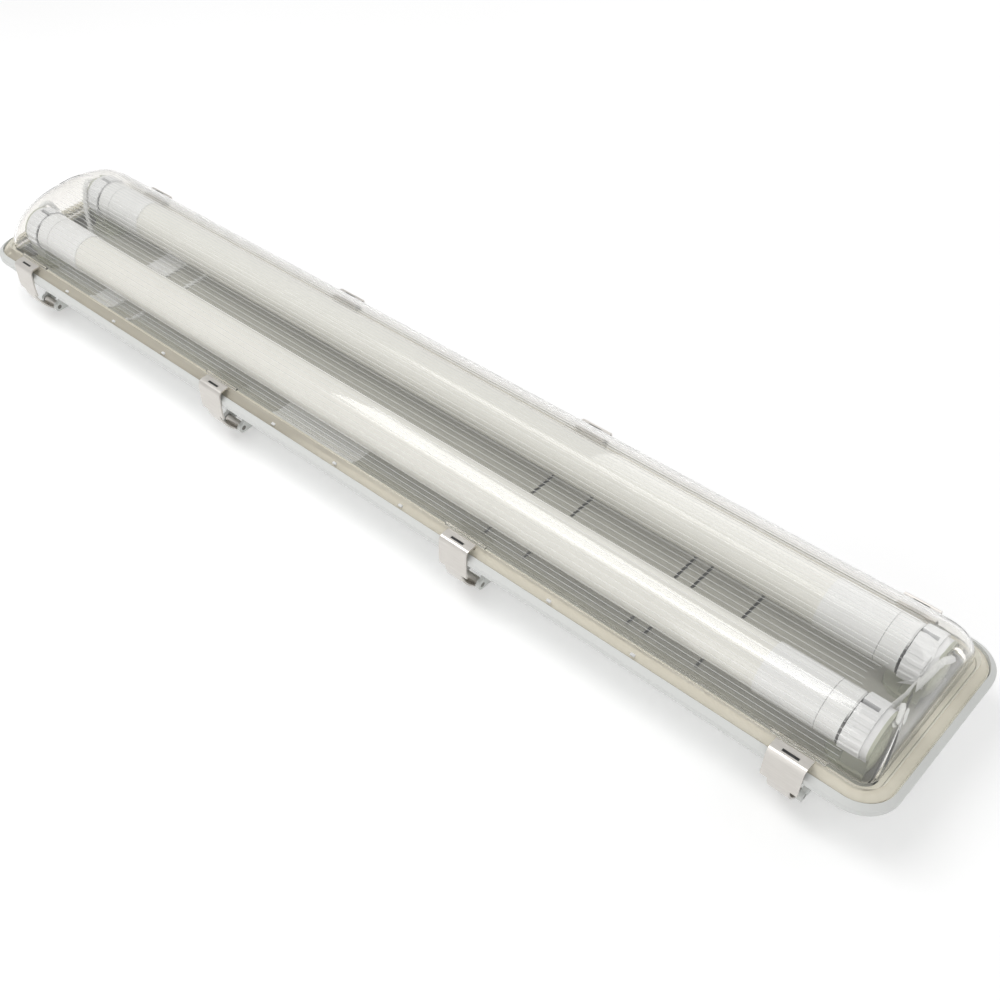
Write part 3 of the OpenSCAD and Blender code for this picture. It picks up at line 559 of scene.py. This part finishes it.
def bars(name, boxes, finish, body, bevel):
    """Small bars with bevelled edges, as one piece: boxes of (centre, half sizes)."""
    verts = []
    faces = []
    for centre, half_sizes in boxes:
        base = len(verts)
        for up in (-1, 1):
            for along, across in ((-1, -1), (1, -1), (1, 1), (-1, 1)):
                verts.append([middle + sign * half for middle, sign, half
                              in zip(centre, (along, across, up), half_sizes)])
        for face in ((0, 3, 2, 1), (4, 5, 6, 7), (0, 1, 5, 4), (1, 2, 6, 5), (2, 3, 7, 6), (3, 0, 4, 7)):
            faces.append(tuple(base + corner for corner in face))
    obj = piece(name, verts, faces, finish, body)
    edges = obj.modifiers.new("edges", "BEVEL")
    edges.width = bevel * MM
    edges.segments = 3


def seat_bars():
    """The clear bars on the cover's flange, one for each clip."""
    half_sizes = (13.5, 0.8, 0.9)
    inset = 9.2
    rise = 0.1
    bevel = 0.25
    boxes = [((x, side * (HALF_W - inset), FLANGE_TOP + rise), half_sizes)
             for x in CLIP_X for side in (-1, 1)]
    bars("seat_bars", boxes, MAT["cover"], "cover", bevel)


def flange_nibs():
    """Small white nibs on the flange's bevel, at even steps but for the places of the clips."""
    half_sizes = (1.3, 0.7, 0.45)
    first_x = -243.4
    pitch = 49.4
    places = (0, 1, 2, 4, 5, 6, 8, 9)
    inset = 5.0
    drop = 2.8
    bevel = 0.15
    boxes = [((first_x + pitch * place, side * (HALF_W - inset), FLANGE_TOP - drop), half_sizes)
             for place in places for side in (-1, 1)]
    bars("flange_nibs", boxes, MAT["white"], "cover", bevel)


def slot_shades():
    """Thin black insets in the slots of the clips: painted shade, for the dark gap under each slot."""
    half_sizes = (4.12, 0.78, 0.06)
    inset = 2.7
    rise = 1.35
    bevel = 0.02
    for number, x in enumerate(CLIP_X, 1):
        for side, letter in ((-1, "f"), (1, "b")):
            label = "%s%d" % (letter, number)
            boxes = [((x, side * (HALF_W - inset), FLANGE_TOP + rise), half_sizes)]
            # Each inset is painted shade, in the black rubber finish
            bars("slot_shade_" + label, boxes, MAT["rubber"], "clip_" + label, bevel)


def holder_back(name, side_x, side_y):
    """The rounded olive moulding on the back of a lampholder, over its back plate and foot."""
    bands = 6
    around = 28
    depth = 3.0
    half_w = 10.8
    half_h = 10.4
    drop = 9.2
    flat_share = 0.4
    squareness = 2.6
    verts = []
    faces = []
    for k in range(bands + 1):
        slope = math.pi / 2 * (k + flat_share) / (bands + flat_share)
        for j in range(around):
            angle = 2 * math.pi * j / around
            across = math.cos(angle)
            up = math.sin(angle)
            reach = (abs(across)**squareness + abs(up)**squareness)**(-1 / squareness)
            reach *= math.sin(slope)
            verts.append((side_x * (BACK_END + depth * math.cos(slope)),
                          side_y * (AXIS_Y + half_w * reach * across),
                          AXIS_Z - drop + half_h * reach * up))
    for k in range(bands):
        for j in range(around):
            here = k * around + j
            beside = k * around + (j + 1) % around
            faces.append((here, beside, beside + around, here + around))
    faces.append(tuple(reversed(range(around))))
    faces.append(tuple(range(bands * around, (bands + 1) * around)))
    obj = piece(name, verts, faces, MAT["olive"], "housing", 50.0)
    shell = bmesh.new()
    shell.from_mesh(obj.data)
    bmesh.ops.recalc_face_normals(shell, faces=shell.faces)
    shell.to_mesh(obj.data)
    shell.free()


cover_shell()
seat_bars()
flange_nibs()
slot_shades()
for side_x, end in ((-1, "left"), (1, "right")):
    for side_y, row in ((-1, "front"), (1, "back")):
        holder_back("holder_back_%s_%s" % (row, end), side_x, side_y)


# Stage, light and camera, in metres and watts
FLOOR_HALF = 6
FLOOR_DROP = 0.0004
FLOOR_GRAIN = 3.0
FLOOR_GLOW = 0.24
SKY_LIGHT = 0.52
# Name, place, target, size and power of each lamp
STUDIO_LAMPS = (
    ("key", (-0.25, -0.30, 1.00), (-0.2, -0.10, 0.05), (0.80, 0.36), 3.8),
    ("front_fill", (0.45, -1.30, 0.55), (0.1, 0.0, 0.03), (1.4, 0.8), 3.6),
    ("back_rim", (0.30, 1.20, 0.70), (0.1, 0.0, 0.05), (1.6, 0.5), 3.2),
)
# Camera fitted to the photograph: its place, and its turns about x, y and z in degrees
CAMERA_PLACE = (0.382842, -0.394320, 0.519522)
CAMERA_TURNS = (44.5156, 3.4388, 45.0119)
# Its focal length and the point on its axis in pixels of the photograph, and its sensor in mm
FOCAL_PX = 1267.216
CENTRE_X_PX = 333.571
CENTRE_Y_PX = 512.676
FRAME_PX = 1000.0
SENSOR = 36.0


def paper_floor():
    """A pale floor that takes the object's shadow and glows a little where it is seen."""
    half = FLOOR_HALF
    mesh = bpy.data.meshes.new("floor")
    mesh.from_pydata([(-half, -half, 0), (half, -half, 0), (half, half, 0), (-half, half, 0)], [],
                     [(0, 1, 2, 3)])
    floor_obj = bpy.data.objects.new("floor", mesh)
    floor_obj.location.z = -FLOOR_DROP
    bpy.context.scene.collection.objects.link(floor_obj)
    made, tree, output = material("floor_paper")
    speckle = noise(tree, object_coords(tree), FLOOR_GRAIN)
    paper = tree.nodes.new("ShaderNodeBsdfDiffuse")
    link(tree, two_tones(tree, speckle, (0.94, 0.94, 0.94), (0.96, 0.96, 0.96)),
         paper.inputs["Color"])
    glow = tree.nodes.new("ShaderNodeEmission")
    seen = ray_of(tree, "Camera", "Transmission", "Glossy")
    link(tree, math_node(tree, "MULTIPLY", seen, FLOOR_GLOW), glow.inputs["Strength"])
    both = tree.nodes.new("ShaderNodeAddShader")
    link(tree, paper.outputs["BSDF"], both.inputs[0])
    link(tree, glow.outputs["Emission"], both.inputs[1])
    link(tree, both.outputs["Shader"], output.inputs["Surface"])
    mesh.materials.append(made)


def studio_sky():
    """A soft even light from all round, and a plain pale background where it is seen."""
    world = bpy.data.worlds.new("studio")
    bpy.context.scene.world = world
    world.use_nodes = True
    tree = world.node_tree
    tree.nodes.clear()
    output = tree.nodes.new("ShaderNodeOutputWorld")
    soft = tree.nodes.new("ShaderNodeBackground")
    soft.inputs["Color"].default_value = (1.0, 1.0, 1.0, 1)
    soft.inputs["Strength"].default_value = SKY_LIGHT
    plain = tree.nodes.new("ShaderNodeBackground")
    plain.inputs["Color"].default_value = (0.8, 0.8, 0.8, 1)
    plain.inputs["Strength"].default_value = 1.0
    seen = ray_of(tree, "Camera", "Transmission", "Glossy")
    link(tree, mixed(tree, seen, soft.outputs[0], plain.outputs[0]), output.inputs["Surface"])


def softbox(name, place, target, size, power):
    """A rectangular lamp that faces its target."""
    light = bpy.data.lights.new(name, "AREA")
    light.shape = "RECTANGLE"
    light.size, light.size_y = size
    light.energy = power
    obj = bpy.data.objects.new(name, light)
    obj.location = place
    facing = Vector(target) - Vector(place)
    obj.rotation_euler = facing.to_track_quat("-Z", "Y").to_euler()
    bpy.context.scene.collection.objects.link(obj)


def photo_camera():
    """The photograph's viewpoint, with its frame shifted off the camera's axis as there."""
    lens = bpy.data.cameras.new("camera")
    lens.sensor_width = SENSOR
    lens.lens = FOCAL_PX / FRAME_PX * SENSOR
    lens.shift_x = (FRAME_PX / 2 - CENTRE_X_PX) / FRAME_PX
    lens.shift_y = (CENTRE_Y_PX - FRAME_PX / 2) / FRAME_PX
    lens.clip_start = 0.02
    obj = bpy.data.objects.new("camera", lens)
    turn = Euler([math.radians(angle) for angle in CAMERA_TURNS]).to_matrix().to_4x4()
    obj.matrix_world = Matrix.Translation(CAMERA_PLACE) @ turn
    bpy.context.scene.collection.objects.link(obj)
    bpy.context.scene.camera = obj


paper_floor()
studio_sky()
for lamp in STUDIO_LAMPS:
    softbox(*lamp)
photo_camera()
bpy.context.scene.view_settings.view_transform = "Standard"
